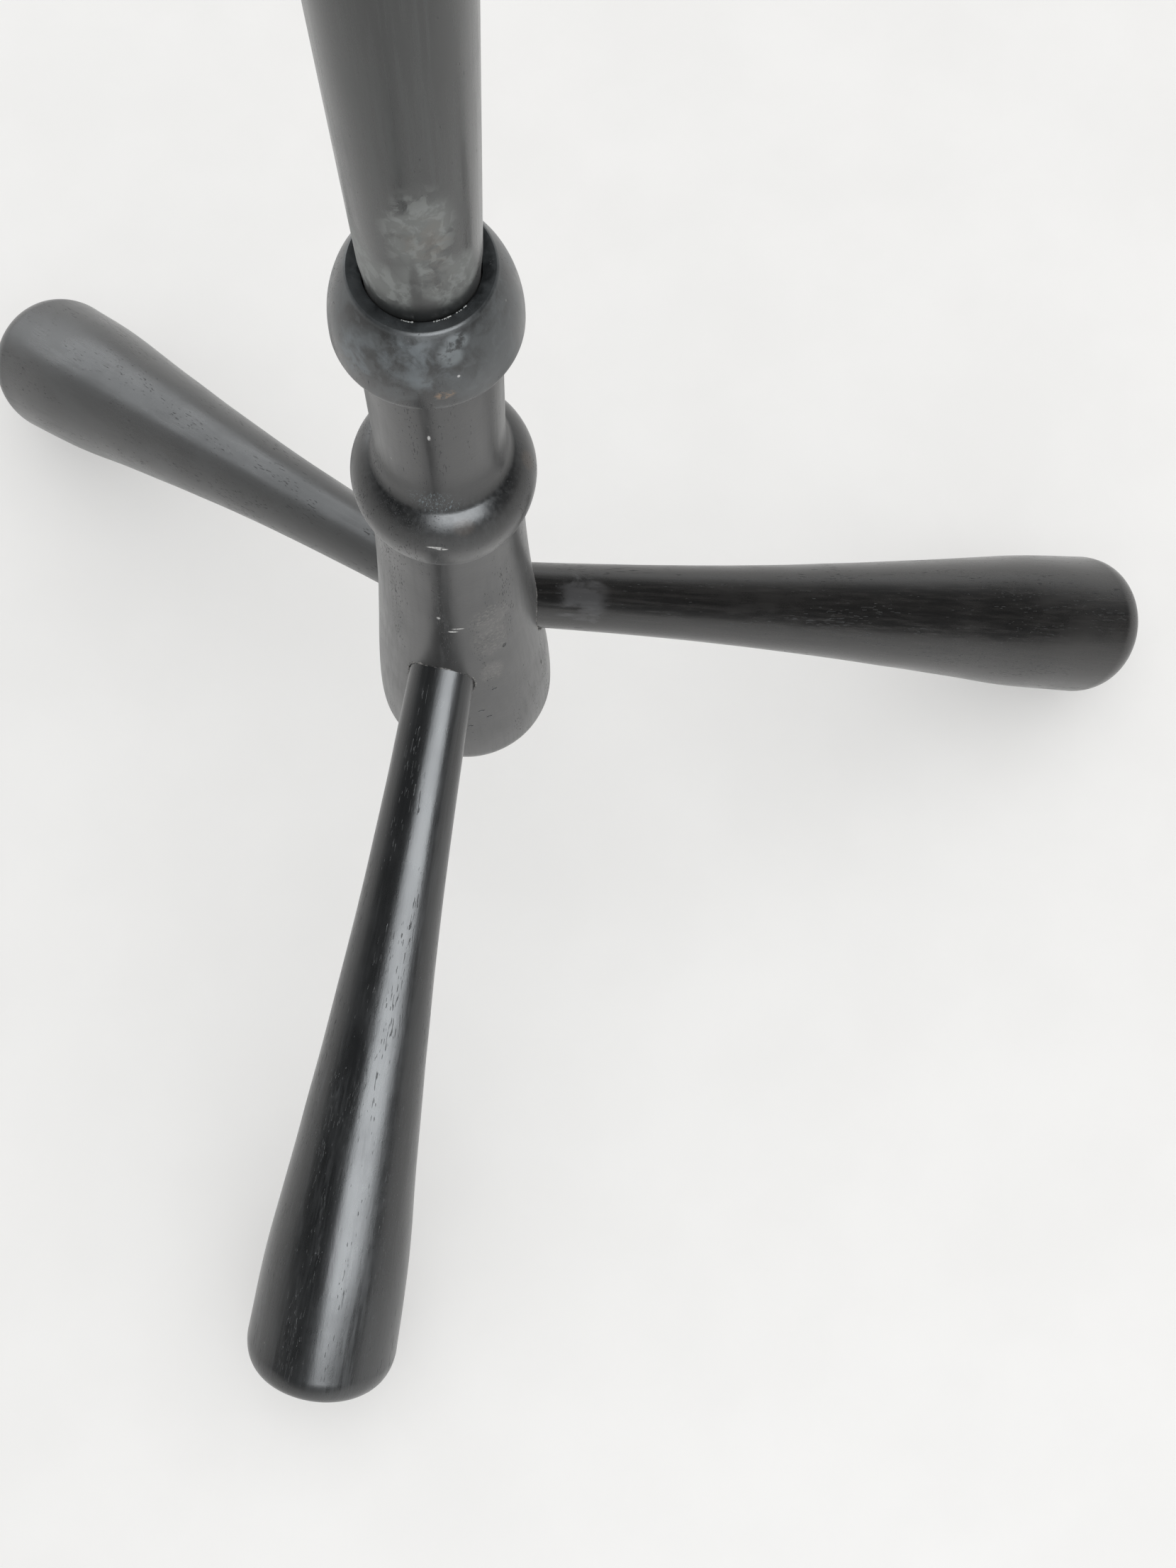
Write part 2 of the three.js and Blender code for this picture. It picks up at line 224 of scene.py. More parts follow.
def place(piece, matrix):
    """Puts a piece that is drawn round the origin where it belongs."""
    piece.matrix_world = matrix


def on_axis(piece):
    place(piece, Matrix.Translation(AXIS))


def subtract(piece, cutters):
    """Cuts other meshes out of a piece, and removes the cutters."""
    for cutter in cutters:
        modifier = piece.modifiers.new("cut", "BOOLEAN")
        modifier.operation = "DIFFERENCE"
        modifier.solver = "EXACT"
        modifier.object = cutter
    bpy.context.view_layer.update()
    graph = bpy.context.evaluated_depsgraph_get()
    data = bpy.data.meshes.new_from_object(piece.evaluated_get(graph))
    piece.modifiers.clear()
    piece.data = data
    for cutter in cutters:
        bpy.data.objects.remove(cutter)
    shade(piece)


def settle(piece):
    """Keeps where each point lies in the piece's own frame, then moves the mesh to its place."""
    data = piece.data
    places = np.empty(3 * len(data.vertices), dtype=np.float32)
    data.vertices.foreach_get("co", places)
    own_place = data.attributes.new("own_place", "FLOAT_VECTOR", "POINT")
    own_place.data.foreach_set("vector", places)
    data.transform(piece.matrix_world)
    piece.matrix_world = Matrix()


def unsettle(piece, amount, frequency):
    """Gives a turned surface the faint unevenness of hand finishing."""
    for vertex in piece.data.vertices:
        outward = Vector((vertex.co.x, vertex.co.y, 0))
        if outward.length > 14 * MM:
            vertex.co += outward.normalized() * noise.noise(vertex.co * frequency) * amount


def chip(hole, depth):
    """Breaks the edge of a hole: mostly tight, with small chips here and there."""
    for vertex in hole.data.vertices:
        outward = Vector((vertex.co.x, vertex.co.y, 0))
        if outward.length > LEG_THIN_RADIUS:
            ragged = 0.5 * noise.noise(vertex.co * 420) + 0.5 * noise.noise(vertex.co * 1300)
            vertex.co += outward.normalized() * (0.15 * MM + depth * max(0, ragged) ** 1.2)


def dress(piece, material, body, slot, *nodes):
    """Gives a piece its material and its body, and hides the CAD nodes that it stands for. The slot argument
    is not used.
    """
    if not piece.data.materials:
        piece.data.materials.append(material)
    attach(piece, body)
    if nodes:
        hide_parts(*nodes)


# ---------------------------------------------------------------------------
# Materials
# ---------------------------------------------------------------------------

class Shader:
    """A small helper that adds and links the nodes of one material."""

    def __init__(self, name):
        self.material = bpy.data.materials.new(name)
        self.material.use_nodes = True
        self.tree = self.material.node_tree
        self.bsdf = self.tree.nodes["Principled BSDF"]
        self.bsdf.inputs["IOR"].default_value = 1.6
        self.bsdf.inputs["Sheen Roughness"].default_value = 0.4
        own_place = self.node("ShaderNodeAttribute", attribute_name="own_place")
        self.place = own_place.outputs["Vector"]

    def use_object_place(self):
        """For meshes that come without a stored place of their own."""
        self.place = self.node("ShaderNodeTexCoord").outputs["Object"]

    def node(self, kind, **values):
        made = self.tree.nodes.new(kind)
        for key, value in values.items():
            setattr(made, key, value)
        return made

    def feed(self, socket, value):
        if hasattr(value, "links"):
            self.tree.links.new(value, socket)
        else:
            socket.default_value = value

    def scaled(self, x, y, z, shift=(0, 0, 0)):
        mapping = self.node("ShaderNodeMapping")
        self.feed(mapping.inputs["Vector"], self.place)
        mapping.inputs["Scale"].default_value = (x, y, z)
        mapping.inputs["Location"].default_value = shift
        return mapping.outputs["Vector"]

    def noise(self, vector, scale, detail=3, roughness=0.55, distortion=0):
        made = self.node("ShaderNodeTexNoise")
        self.feed(made.inputs["Vector"], vector)
        made.inputs["Scale"].default_value = scale
        made.inputs["Detail"].default_value = detail
        made.inputs["Roughness"].default_value = roughness
        made.inputs["Distortion"].default_value = distortion
        return made.outputs["Fac"]

    def math(self, operation, a, b=0.0, clamp=False):
        made = self.node("ShaderNodeMath", operation=operation, use_clamp=clamp)
        self.feed(made.inputs[0], a)
        self.feed(made.inputs[1], b)
        return made.outputs[0]

    def times(self, a, b):
        return self.math("MULTIPLY", a, b)

    def plus(self, a, b):
        return self.math("ADD", a, b)

    def ramp(self, value, low, high, start=0.0, end=1.0):
        made = self.node("ShaderNodeMapRange", interpolation_type="SMOOTHSTEP")
        self.feed(made.inputs["Value"], value)
        made.inputs["From Min"].default_value = low
        made.inputs["From Max"].default_value = high
        made.inputs["To Min"].default_value = start
        made.inputs["To Max"].default_value = end
        return made.outputs["Result"]

    def mix(self, factor, first, second):
        made = self.node("ShaderNodeMix", data_type="RGBA")
        self.feed(made.inputs[0], factor)
        self.feed(made.inputs[6], first)
        self.feed(made.inputs[7], second)
        return made.outputs[2]

    def bump(self, height, strength, distance, under=None):
        made = self.node("ShaderNodeBump")
        self.feed(made.inputs["Height"], height)
        made.inputs["Strength"].default_value = strength
        made.inputs["Distance"].default_value = distance
        if under is not None:
            self.feed(made.inputs["Normal"], under)
        return made.outputs["Normal"]

    def spot(self, centre, size, edge=0.45):
        """1 inside an ellipsoid with a ragged edge, and 0 outside."""
        offset = self.node("ShaderNodeVectorMath", operation="SUBTRACT")
        self.feed(offset.inputs[0], self.place)
        offset.inputs[1].default_value = centre
        ratio = self.node("ShaderNodeVectorMath", operation="DIVIDE")
        self.feed(ratio.inputs[0], offset.outputs[0])
        ratio.inputs[1].default_value = size
        length = self.node("ShaderNodeVectorMath", operation="LENGTH")
        self.feed(length.inputs[0], ratio.outputs[0])
        return self.ramp(length.outputs["Value"], 1, edge)

    def spots(self, marks):
        """All marks together. A mark is (degrees to the right of the front, height, radius, size)."""
        total = 0.0
        for angle, height, radius, size in marks:
            turn = math.radians(angle)
            centre = (radius * MM * math.sin(turn), -radius * MM * math.cos(turn), height * MM)
            total = self.math("MAXIMUM", total, self.spot(centre, [v * MM for v in size]))
        return total

    def start(self, colour, gloss, normal=None):
        self.colour, self.gloss, self.normal = colour, gloss, normal

    def wear_and_painted_light(self, mask, colour, gloss=None):
        """Lays a colour over what is there: wear and dust, and in places painted light and shade."""
        self.colour = self.mix(mask, self.colour, (*colour, 1))
        if gloss is not None:
            blend = self.node("ShaderNodeMix", data_type="FLOAT")
            self.feed(blend.inputs[0], mask)
            self.feed(blend.inputs[2], self.gloss)
            blend.inputs[3].default_value = gloss
            self.gloss = blend.outputs[0]

    def dent(self, height, strength, distance):
        self.normal = self.bump(height, strength, distance, self.normal)

    def done(self):
        self.feed(self.bsdf.inputs["Base Color"], self.colour)
        self.feed(self.bsdf.inputs["Roughness"], self.gloss)
        if self.normal is not None:
            self.feed(self.bsdf.inputs["Normal"], self.normal)
        return self.material


def ebonised(name, black, roughness, shift=(0, 0, 0), pores=0.5, pore_length=5, streaks=0.5, flecks=0.3):
    """Open-grained wood stained black and waxed, with its grain along the piece's Z axis."""
    s = Shader(name)
    s.bsdf.inputs["Sheen Weight"].default_value = 0.10
    stretched = 1 / pore_length
    pore_field = s.noise(s.scaled(1, 1, stretched, shift), 1900, detail=0)
    crowd = s.noise(s.scaled(1, 1, 0.12, shift), 75, detail=2, distortion=0.5)
    pore_limit = s.ramp(crowd, 0.40, 0.66, 0.86, 0.70 - 0.08 * pores)
    pore = s.ramp(s.math("SUBTRACT", pore_field, pore_limit), 0.0, 0.04)
    grain = s.noise(s.scaled(1, 1, 0.035, shift), 520, detail=4, roughness=0.65)
    broad = s.noise(s.scaled(1, 1, 0.05, shift), 70, detail=3, distortion=0.8)
    haze = s.noise(s.scaled(1, 1, 0.6, shift), 28, detail=5, roughness=0.6)
    grit = s.noise(s.scaled(1, 1, 0.7, shift), 1100, detail=2, roughness=0.7)

    dark = tuple(0.62 * c for c in black)
    light = tuple(1.9 * c for c in black)
    streak = s.times(s.ramp(grain, 0.38, 0.72), s.ramp(broad, 0.35, 0.70, 1 - streaks, 1))
    colour = s.mix(streak, (*dark, 1), (*light, 1))
    colour = s.mix(s.times(s.ramp(haze, 0.42, 0.72), 0.5), colour, (*light, 1))
    colour = s.mix(s.times(pore, 0.85), colour, (0.004, 0.004, 0.005, 1))
    gloss = s.plus(roughness - 0.05, s.times(streak, 0.09))
    gloss = s.plus(gloss, s.times(s.ramp(haze, 0.40, 0.70), 0.08))
    gloss = s.math("ADD", gloss, s.times(pore, 0.25), clamp=True)
    s.start(colour, gloss)

    s.dent(s.noise(s.scaled(1, 1, 0.3, shift), 60, detail=2), 0.3, 0.5 * MM)
    s.dent(grit, 0.35, 0.05 * MM)
    s.dent(s.math("SUBTRACT", s.times(grain, 0.22 * streaks), pore), 0.7, 0.12 * MM)
    cells = s.node("ShaderNodeTexVoronoi", feature="F1")
    s.feed(cells.inputs["Vector"], s.scaled(1, 1, 0.8, shift))
    cells.inputs["Scale"].default_value = 85
    chance = s.node("ShaderNodeSeparateColor")
    s.feed(chance.inputs["Color"], cells.outputs["Color"])
    dust = s.times(s.ramp(cells.outputs["Distance"], 0.05, 0.02), s.ramp(chance.outputs["Red"], 0.80, 0.84))
    s.wear_and_painted_light(s.times(dust, flecks), (0.50, 0.49, 0.47))
    return s


def clouds(s, scale, low, high, detail=6, stretch=1.0, shift=(0, 0, 0)):
    """Blotches with soft and crisp edges, as wax and handling leave them. They also break up painted light.
    """
    field = s.noise(s.scaled(1, 1, stretch, shift), scale, detail=detail, roughness=0.6, distortion=0.5)
    return s.ramp(field, low, high)


def column_wood():
    s = ebonised("ebonised_column", (0.014, 0.0145, 0.015), 0.33, pores=0.75, pore_length=5, streaks=0.35)
    worn = s.spots([(43, 322, 34.5, (13, 13, 16)), (41, 298, 36, (12, 12, 22)), (38, 262, 38.5, (8, 8, 14))])
    rubbed = s.times(worn, clouds(s, 620, 0.46, 0.66))
    s.wear_and_painted_light(s.times(rubbed, 0.55), (0.20, 0.19, 0.175), 0.5)
    s.wear_and_painted_light(s.times(s.times(worn, clouds(s, 60, 0.35, 0.6)), 0.4), (0.15, 0.145, 0.14), 0.5)
    # Painted reflection: a bluish patch on the front of the bead's top stands in for the window's shine.
    # Fine noise breaks it up.
    painted_bead_reflection = s.spots([(5, 439, 28.3, (13, 12, 8)), (14, 436, 29.5, (14, 10, 6))])
    fine = s.noise(s.scaled(1, 1, 0.35, (3, 1, 2)), 900, detail=2, distortion=2.2)
    s.wear_and_painted_light(s.times(painted_bead_reflection, s.ramp(fine, 0.55, 0.66, 0, 0.8)), (0.15, 0.19, 0.21), 0.45)
    brown = s.spots([(29, 426, 32.8, (6, 5, 5)), (100, 424, 34.2, (5, 5, 7))])
    s.wear_and_painted_light(s.times(brown, 0.35), (0.08, 0.055, 0.038))
    scratches = s.spots([
        (10.5, 492, 25.7, (0.7, 1, 2.6)), (9, 418, 37.1, (4.5, 2, 0.7)), (13, 417, 37.1, (3.5, 2, 0.6)),
        (17, 319, 34.5, (4, 2, 0.8)), (13, 316, 34.7, (3, 2, 1.1)), (3, 330, 34.3, (1.2, 1, 1.6)),
    ])
    s.wear_and_painted_light(s.times(scratches, clouds(s, 900, 0.35, 0.50)), (0.55, 0.55, 0.54), 0.5)
    gouges = s.spots([
        (50.6, 284, 36.8, (1.3, 1.3, 2.6)), (84, 216, 42.1, (1.6, 0.8, 3.4)),
        (38, 241, 40.1, (2.4, 1.2, 1.2)), (27, 219, 41.9, (2.6, 1.2, 1.3)),
        (32, 209, 42.7, (2.2, 1.2, 1.4)), (18.5, 201, 43.2, (1.8, 1, 1.2)),
    ])
    s.dent(s.math("SUBTRACT", 0, gouges), 1.0, 0.7 * MM)
    s.wear_and_painted_light(s.times(gouges, 0.7), (0.006, 0.006, 0.006), 0.7)
    s.dent(clouds(s, 300, 0.4, 0.7), 0.25, 0.05 * MM)
    return s.done()


def collar_wood():
    s = ebonised("ebonised_collar", (0.012, 0.0135, 0.0145), 0.31, (0.3, 0.1, 0.2), pores=0.2, flecks=0.4)
    smudge = clouds(s, 55, 0.46, 0.64, stretch=0.8)
    s.wear_and_painted_light(s.times(smudge, 0.45), (0.095, 0.108, 0.115), 0.50)
    small_smudge = clouds(s, 170, 0.50, 0.64, stretch=0.8, shift=(0.2, 0.5, 0.1))
    s.wear_and_painted_light(s.times(small_smudge, 0.35), (0.10, 0.112, 0.118), 0.48)
    # Painted reflection: bluish and pale patches on the front of the collar's upper face stand in for the
    # window's shine.
    painted_blue_reflection = s.spots([(2, 556, 29, (16, 12, 13)), (15, 551, 31, (13, 10, 12)), (-32, 547, 32, (12, 12, 14))])
    s.wear_and_painted_light(s.times(s.times(painted_blue_reflection, clouds(s, 120, 0.40, 0.62)), 0.55), (0.17, 0.20, 0.22), 0.5)
    painted_pale_reflection = s.spots([(32, 556, 29.2, (6, 5, 6)), (38, 560, 27.5, (6, 5, 4))])
    s.wear_and_painted_light(s.times(s.times(painted_pale_reflection, clouds(s, 200, 0.36, 0.50)), 0.6), (0.22, 0.25, 0.265), 0.5)
    brown = s.spots([(25, 538.5, 33.4, (4.5, 4, 3))])
    s.wear_and_painted_light(s.times(brown, clouds(s, 380, 0.42, 0.62)), (0.22, 0.145, 0.09), 0.55)
    s.wear_and_painted_light(s.times(s.spots([(34.5, 546.5, 32.2, (0.7, 0.7, 0.8))]), 0.8), (0.6, 0.6, 0.6), 0.5)
    height = s.node("ShaderNodeSeparateXYZ")
    s.feed(height.inputs[0], s.place)
    lip = s.ramp(height.outputs["Z"], COLLAR_BASE + 2.6 * MM, COLLAR_BASE + 0.6 * MM)
    s.wear_and_painted_light(s.times(lip, clouds(s, 240, 0.42, 0.56)), (0.24, 0.23, 0.21), 0.6)
    # The rim's top edge is made lighter: partly wear, partly a painted highlight.
    rim_wear_and_highlight = s.ramp(height.outputs["Z"], COLLAR_RIM - 0.6 * MM, COLLAR_RIM - 0.1 * MM)
    s.wear_and_painted_light(s.times(rim_wear_and_highlight, 0.5), (0.055, 0.060, 0.062), 0.40)
    # Painted reflection: the dish round the socket is lightened in clouds, standing in for the light it
    # reflects.
    painted_dish_reflection = s.ramp(height.outputs["Z"], COLLAR_RIM - 2.2 * MM, COLLAR_RIM - 1.4 * MM)
    s.wear_and_painted_light(s.times(painted_dish_reflection, s.times(clouds(s, 90, 0.30, 0.60), 0.6)), (0.060, 0.066, 0.070), 0.40)
    return s.done()


def post_wood():
    s = ebonised(
        "ebonised_post", (0.013, 0.015, 0.0145), 0.27, (0.7, 0.2, 0.1),
        pores=-1.5, streaks=0.08, flecks=0)
    foot = COLLAR_RIM / MM
    handled = s.spots([
        (-20, foot + 17, 20.5, (16, 16, 17)), (22, foot + 50, 21.3, (15, 12, 30)),
        (47, foot + 18, 20.6, (14, 14, 18)), (-50, foot + 20, 20.5, (14, 14, 26)),
        (25, foot + 27, 20.8, (14, 12, 16)),
    ])
    s.wear_and_painted_light(s.times(handled, clouds(s, 75, 0.34, 0.58, stretch=0.55)), (0.125, 0.133, 0.128), 0.5)
    dusty = s.times(handled, clouds(s, 230, 0.48, 0.60, stretch=0.7))
    s.wear_and_painted_light(s.times(dusty, 0.6), (0.22, 0.235, 0.228), 0.55)
    brown = s.spots([(25, foot + 38, 21, (14, 12, 26))])
    s.wear_and_painted_light(s.times(s.times(brown, clouds(s, 90, 0.44, 0.66)), 0.4), (0.15, 0.125, 0.10), 0.5)
    # Painted shade: a dark streak and a dark patch on the post's front, just above its foot.
    painted_front_shade = s.spots([(13, foot + 16, 20.6, (2.5, 6, 26)), (20, foot + 6, 20.4, (6, 6, 12))])
    s.wear_and_painted_light(s.times(painted_front_shade, 0.7), (0.035, 0.035, 0.034), 0.42)
    height = s.node("ShaderNodeSeparateXYZ")
    s.feed(height.inputs[0], s.place)
    # Painted shade: the post darkens over its last few millimetres towards its foot.
    painted_foot_shade = s.ramp(height.outputs["Z"], COLLAR_RIM + 9 * MM, COLLAR_RIM + 2 * MM)
    s.wear_and_painted_light(s.times(painted_foot_shade, 0.8), (0.010, 0.012, 0.013), 0.35)
    return s.done()


def cone_wood():
    s = ebonised(
        "ebonised_cone", (0.013, 0.015, 0.0145), 0.32, (0.2, 0.6, 0.3),
        pores=0.1, streaks=0.3, flecks=0.1)
    s.wear_and_painted_light(s.times(clouds(s, 60, 0.48, 0.68), 0.4), (0.13, 0.135, 0.13), 0.52)
    return s.done()


def front_leg_wood():
    s = ebonised(
        "ebonised_leg_front", (0.017, 0.018, 0.019), 0.30, (0.9, 0.4, 0.5),
        pores=0.5, pore_length=14, streaks=0.9)
    rubbed = clouds(s, 45, 0.56, 0.72, stretch=0.12, shift=(0.5, 0.2, 0.7))
    broken = s.times(rubbed, clouds(s, 420, 0.40, 0.60, stretch=0.12))
    s.wear_and_painted_light(s.times(broken, 0.6), (0.085, 0.09, 0.095), 0.42)
    s.dent(s.noise(s.scaled(1, 1, 0.14), 300, detail=4, roughness=0.75), 0.45, 0.14 * MM)
    return s.done()


def right_leg_wood():
    s = ebonised(
        "ebonised_leg_right", (0.011, 0.0098, 0.0090), 0.27, (0.5, 0.8, 0.1),
        pores=0.4, pore_length=12, flecks=0.9)
    smear = s.times(clouds(s, 110, 0.44, 0.62, stretch=0.35), near_hub(s, 62, 18))
    s.wear_and_painted_light(s.times(smear, 0.5), (0.10, 0.10, 0.105), 0.42)
    s.wear_and_painted_light(s.times(clouds(s, 38, 0.56, 0.74, stretch=0.15), 0.35), (0.030, 0.027, 0.025), 0.36)
    return s.done()


def left_leg_wood():
    s = ebonised(
        "ebonised_leg_left", (0.012, 0.013, 0.0135), 0.30, (0.1, 0.5, 0.8),
        pores=0.3, pore_length=9, streaks=0.5)
    s.wear_and_painted_light(s.times(clouds(s, 40, 0.46, 0.70, stretch=0.4), 0.45), (0.045, 0.049, 0.051), 0.40)
    return s.done()


def near_hub(s, along, width):
    """1 near a distance along a leg, and 0 beyond a width of it. Both are in millimetres."""
    height = s.node("ShaderNodeSeparateXYZ")
    s.feed(height.inputs[0], s.place)
    away = s.math("ABSOLUTE", s.math("SUBTRACT", height.outputs["Z"], along * MM))
    return s.ramp(away, width * MM, 0.4 * width * MM)


def bare_wood():
    s = Shader("raw_wood")
    s.use_object_place()
    streaks = s.noise(s.scaled(1, 1, 0.05), 500, detail=5, roughness=0.65)
    s.start(s.mix(s.ramp(streaks, 0.3, 0.7), (0.36, 0.24, 0.13, 1), (0.20, 0.12, 0.06, 1)), 0.62)
    s.wear_and_painted_light(s.times(clouds(s, 60, 0.5, 0.75), 0.7), (0.05, 0.04, 0.035))
    s.dent(streaks, 0.5, 0.1 * MM)
    return s.done()


def black_felt():
    s = Shader("black_felt")
    fibres = s.noise(s.place, 2600, detail=5, roughness=0.75, distortion=1.2)
    s.start(s.mix(s.ramp(fibres, 0.3, 0.75), (0.007, 0.007, 0.008, 1), (0.035, 0.035, 0.037, 1)), 0.95)
    s.dent(s.noise(s.place, 420, detail=3), 0.5, 0.5 * MM)
    s.dent(fibres, 0.9, 0.25 * MM)
    s.bsdf.inputs["Sheen Weight"].default_value = 0.25
    s.bsdf.inputs["Specular IOR Level"].default_value = 0.2
    return s.done()


def nail_steel():
    s = Shader("nail_steel")
    brushed = s.noise(s.scaled(1, 1, 6), 700, detail=3)
    s.start((0.45, 0.46, 0.47, 1), s.ramp(brushed, 0.3, 0.7, 0.28, 0.42))
    s.dent(brushed, 0.2, 0.05 * MM)
    s.bsdf.inputs["Metallic"].default_value = 1
    return s.done()


def cracked_paint():
    s = Shader("cracked_paint")
    broken = s.noise(s.place, 700, detail=4, roughness=0.7)
    s.start(s.mix(s.ramp(broken, 0.42, 0.60), (0.012, 0.012, 0.013, 1), (0.30, 0.29, 0.275, 1)), 0.55)
    s.dent(broken, 0.8, 0.2 * MM)
    return s.done()


def seam_glint_drops():
    s = Shader("seam_glint_drops")
    cloudy = s.noise(s.place, 1800, detail=3)
    # The pale colour paints the glints at the seam.
    s.start(s.mix(s.ramp(cloudy, 0.4, 0.6), (0.30, 0.32, 0.32, 1), (0.75, 0.76, 0.75, 1)), 0.12)
    s.dent(cloudy, 0.3, 0.05 * MM)
    return s.done()


COLUMN_WOOD = column_wood()
COLLAR_WOOD = collar_wood()
POST_WOOD = post_wood()
CONE_WOOD = cone_wood()
LEG_WOODS = {"front": front_leg_wood(), "right": right_leg_wood(), "left": left_leg_wood()}
RAW_WOOD = bare_wood()
BLACK_FELT = black_felt()
NAIL_STEEL = nail_steel()
CRACKED_PAINT = cracked_paint()
SEAM_GLINT_DROPS = seam_glint_drops()


# ---------------------------------------------------------------------------
# Legs
# ---------------------------------------------------------------------------

def leg_outline(length, clearance=0.0, end=None):
    """Outline of a leg along its own axis, as in the CAD part, and finer."""
    scale = length / LEG_STANDARD_LENGTH
    corner_start = (LEG_STANDARD_LENGTH - LEG_CROWN - LEG_CORNER_ALONG) * scale
    swell = through([
        (LEG_THIN_RADIUS, 27 * MM * scale),
        (17.7 * MM, 99 * MM * scale),
        (21.4 * MM, 171 * MM * scale),
        (26.8 * MM, 243 * MM * scale),
        (33.1 * MM, 315 * MM * scale),
        (38.7 * MM, 373.5 * MM * scale),
        (LEG_THICK_RADIUS, corner_start),
    ])
    corner = arc(
        LEG_THICK_RADIUS - LEG_CORNER_ACROSS, corner_start,
        LEG_CORNER_ACROSS, LEG_CORNER_ALONG * scale, 0, 90)[1:]
    crown_radius = corner[-1][0]
    crown = arc(0, corner[-1][1], crown_radius, LEG_CROWN * scale, 0, 90)[1:]
    outline = [(LEG_THIN_RADIUS, LEG_SEAT), *swell, *corner, *crown]
    outline = [(radius + clearance, height) for radius, height in outline]
    if end is not None:
        outline = [point for point in outline if point[1] < end]
        outline.append((outline[-1][0], end))
        outline.append((0, end))
    outline[-1] = (0, outline[-1][1])
    start = LEG_SEAT - clearance
    return [(0, start), (outline[0][0], start), *outline[1:]]


def lowest_point(length, dip):
    """Height and reach of the lowest point of a leg whose axis dips by an angle."""
    points = leg_outline(length)
    heights = [LEG_AXIS_HEIGHT - s * math.sin(dip) - r * math.cos(dip) for r, s in points]
    k = min(range(len(points)), key=heights.__getitem__)
    radius, along = points[k]
    return heights[k], along * math.cos(dip) - radius * math.sin(dip)


def dip_of(length):
    target = PAD_THICKNESS + GAP - CLUB_FLAT_DEPTH
    shallow, steep = math.radians(10), math.radians(60)
    for _ in range(40):
        middle = (shallow + steep) / 2
        if lowest_point(length, middle)[0] > target:
            shallow = middle
        else:
            steep = middle
    return (shallow + steep) / 2


def pad_centre(name):
    low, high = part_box(f"foot_pad_{name}")
    return Vector(((low[0] + high[0]) / 2, (low[1] + high[1]) / 2, 0))


def leg_matrix(name):
    """Places a leg that is drawn along Z, from the column's axis out to its club end."""
    outward = pad_centre(name) - AXIS
    azimuth = math.atan2(outward.y, outward.x)
    dip = dip_of(LEG_LENGTHS[name])
    turn = Matrix.Rotation(azimuth, 4, "Z") @ Matrix.Rotation(math.pi / 2 + dip, 4, "Y")
    return Matrix.Translation(AXIS + Vector((0, 0, LEG_AXIS_HEIGHT))) @ turn


def make_leg(name):
    length = LEG_LENGTHS[name]
    leg = turned(f"club_leg_{name}", leg_outline(length))
    unsettle(leg, 0.15 * MM, 30)
    place(leg, leg_matrix(name))
    block = box_mesh("floor_block", 0.2, 0.2, 0.03)
    place(block, Matrix.Translation(pad_centre(name) + Vector((0, 0, PAD_THICKNESS + GAP - 0.03))))
    subtract(leg, [block])
    settle(leg)
    dress(leg, LEG_WOODS[name], "base", "ebonised_leg", f"leg_{name}")
    return leg


def box_mesh(name, x, y, z):
    """A block from -x to x and -y to y, and from -z to z."""
    mesh = bmesh.new()
    bmesh.ops.create_cube(mesh, size=2)
    bmesh.ops.scale(mesh, vec=(x, y, z), verts=mesh.verts)
    data = bpy.data.meshes.new(name)
    mesh.to_mesh(data)
    mesh.free()
    block = bpy.data.objects.new(name, data)
    bpy.context.collection.objects.link(block)
    return block


def leg_hole(name):
    """The cutter for a leg's socket in the hub, ragged where it breaks the surface."""
    outline = leg_outline(LEG_LENGTHS[name], clearance=GAP, end=80 * MM)
    hole = turned(f"hole_{name}", outline, facets=FINE, longest=0.9 * MM)
    chip(hole, 0.9 * MM)
    place(hole, leg_matrix(name))
    return hole


# ---------------------------------------------------------------------------
# Column, collar, post and bell cone
# ---------------------------------------------------------------------------

def outline_radius(outline, height):
    """Radius of an outline that climbs all the way, at a height."""
    heights = [point[1] for point in outline]
    radii = [point[0] for point in outline]
    return float(np.interp(height, heights, radii))


def joint_points(name, lift, count=220):
    """Points round a leg where its surface, lifted a little, meets the column's."""
    column = column_outline()
    leg = [point for point in leg_outline(LEG_LENGTHS[name]) if point[1] > LEG_SEAT]
    matrix = leg_matrix(name)
    points = []
    for i in range(count):
        turn = 2 * math.pi * i / count
        inside, outside = 25 * MM, 90 * MM
        for _ in range(16):
            along = (inside + outside) / 2
            radius = outline_radius(leg, along) + lift
            point = matrix @ Vector((radius * math.cos(turn), radius * math.sin(turn), along))
            away = math.hypot(point.x - AXIS.x, point.y - AXIS.y)
            if away < outline_radius(column, point.z):
                inside = along
            else:
                outside = along
        points.append(point)
    return points


